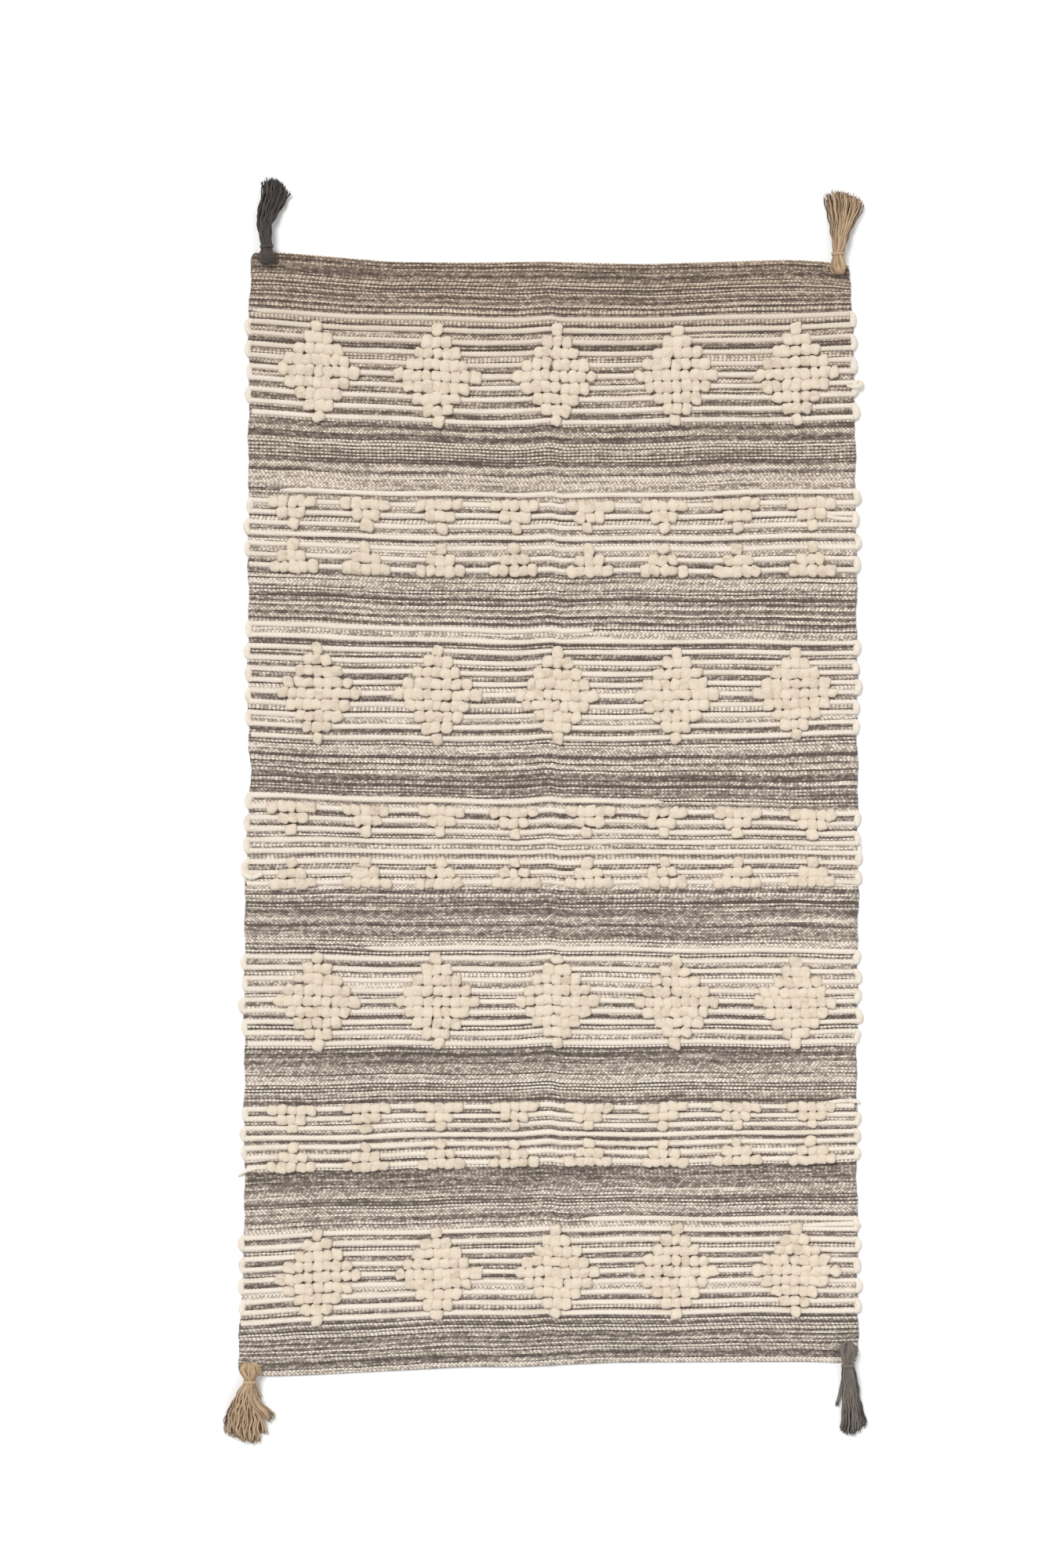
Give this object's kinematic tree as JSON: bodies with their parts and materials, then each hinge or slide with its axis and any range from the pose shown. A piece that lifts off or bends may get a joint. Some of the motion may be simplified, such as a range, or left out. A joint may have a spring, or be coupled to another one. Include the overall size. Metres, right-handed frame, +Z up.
{
  "type": "runner rug",
  "caption": "Flat-woven cotton rug with raised popcorn-loop diamonds and triangles on thick cream weft rows, and a yarn tassel at each corner.",
  "frame": {"origin": "on the floor at the lengthwise crease, half way along the cloth", "axes": "+X to the right across the cloth, +Y along its length to the far end, +Z up from the floor"},
  "size_m": [0.8494, 1.6515, 0.0273],
  "materials": {
    "ground_weave": "heathered grey and cream cotton plain weave, matte",
    "hem_weave": "heathered cotton plain weave, turned and stitched, matte",
    "thick_weft": "unbleached cotton roving, soft matte",
    "popcorn_loops": "unbleached cotton roving in plump loops, soft matte",
    "charcoal_yarn": "charcoal cotton yarn, matte",
    "beige_yarn": "beige cotton yarn, matte",
    "grey_yarn": "mid grey cotton yarn, matte"
  },
  "bodies": {
    "left_half": {"ground_left": "ground_weave", "hem_far_left": "hem_weave", "hem_near_left": "hem_weave", "rows_1_left": "thick_weft", "rows_2_left": "thick_weft", "rows_3_left": "thick_weft", "rows_4_left": "thick_weft", "rows_5_left": "thick_weft", "rows_6_left": "thick_weft", "rows_7_left": "thick_weft", "loops_1_left": "popcorn_loops", "loops_2_left": "popcorn_loops", "loops_3_left": "popcorn_loops", "loops_4_left": "popcorn_loops", "loops_5_left": "popcorn_loops", "loops_6_left": "popcorn_loops", "loops_7_left": "popcorn_loops", "turns_left": "thick_weft"},
    "right_half": {"ground_right": "ground_weave", "hem_far_right": "hem_weave", "hem_near_right": "hem_weave", "rows_1_right": "thick_weft", "rows_2_right": "thick_weft", "rows_3_right": "thick_weft", "rows_4_right": "thick_weft", "rows_5_right": "thick_weft", "rows_6_right": "thick_weft", "rows_7_right": "thick_weft", "loops_1_right": "popcorn_loops", "loops_2_right": "popcorn_loops", "loops_3_right": "popcorn_loops", "loops_4_right": "popcorn_loops", "loops_5_right": "popcorn_loops", "loops_6_right": "popcorn_loops", "loops_7_right": "popcorn_loops", "turns_right": "thick_weft"},
    "tie_far_left": {"tie_far_left": "charcoal_yarn"},
    "tassel_far_left": {"head_far_left": "charcoal_yarn", "wrap_far_left": "charcoal_yarn", "skirt_far_left": "charcoal_yarn"},
    "tie_far_right": {"tie_far_right": "beige_yarn"},
    "tassel_far_right": {"head_far_right": "beige_yarn", "wrap_far_right": "beige_yarn", "skirt_far_right": "beige_yarn"},
    "tie_near_left": {"tie_near_left": "beige_yarn"},
    "tassel_near_left": {"head_near_left": "beige_yarn", "wrap_near_left": "beige_yarn", "skirt_near_left": "beige_yarn"},
    "tie_near_right": {"tie_near_right": "grey_yarn"},
    "tassel_near_right": {"head_near_right": "grey_yarn", "wrap_near_right": "grey_yarn", "skirt_near_right": "grey_yarn"}
  },
  "joints": [
    {"name": "fold", "type": "hinge", "parent": "left_half", "child": "right_half", "pos_m": [0, 0, 0.017], "axis": [0, -1, 0], "range_deg": [0, 175]},
    {"name": "swing_far_left", "type": "hinge", "parent": "left_half", "child": "tie_far_left", "pos_m": [-0.37205, 0.726, 0.0163], "axis": [0, 0, 1], "range_deg": [-40, 90]},
    {"name": "lift_far_left", "type": "hinge", "parent": "tie_far_left", "child": "tassel_far_left", "pos_m": [-0.37205, 0.726, 0.0163], "axis": [-1, 0, 0], "range_deg": [-150, 0]},
    {"name": "swing_far_right", "type": "hinge", "parent": "right_half", "child": "tie_far_right", "pos_m": [0.37303, 0.7145, 0.0163], "axis": [0, 0, 1], "range_deg": [-90, 40]},
    {"name": "lift_far_right", "type": "hinge", "parent": "tie_far_right", "child": "tassel_far_right", "pos_m": [0.37303, 0.7145, 0.0163], "axis": [-1, 0, 0], "range_deg": [-150, 0]},
    {"name": "swing_near_left", "type": "hinge", "parent": "left_half", "child": "tie_near_left", "pos_m": [-0.39395, -0.7265, 0.0163], "axis": [0, 0, 1], "range_deg": [-90, 40]},
    {"name": "lift_near_left", "type": "hinge", "parent": "tie_near_left", "child": "tassel_near_left", "pos_m": [-0.39395, -0.7265, 0.0163], "axis": [1, 0, 0], "range_deg": [-150, 0]},
    {"name": "swing_near_right", "type": "hinge", "parent": "right_half", "child": "tie_near_right", "pos_m": [0.38589, -0.7, 0.0163], "axis": [0, 0, 1], "range_deg": [-40, 90]},
    {"name": "lift_near_right", "type": "hinge", "parent": "tie_near_right", "child": "tassel_near_right", "pos_m": [0.38589, -0.7, 0.0163], "axis": [1, 0, 0], "range_deg": [-150, 0]}
  ]
}
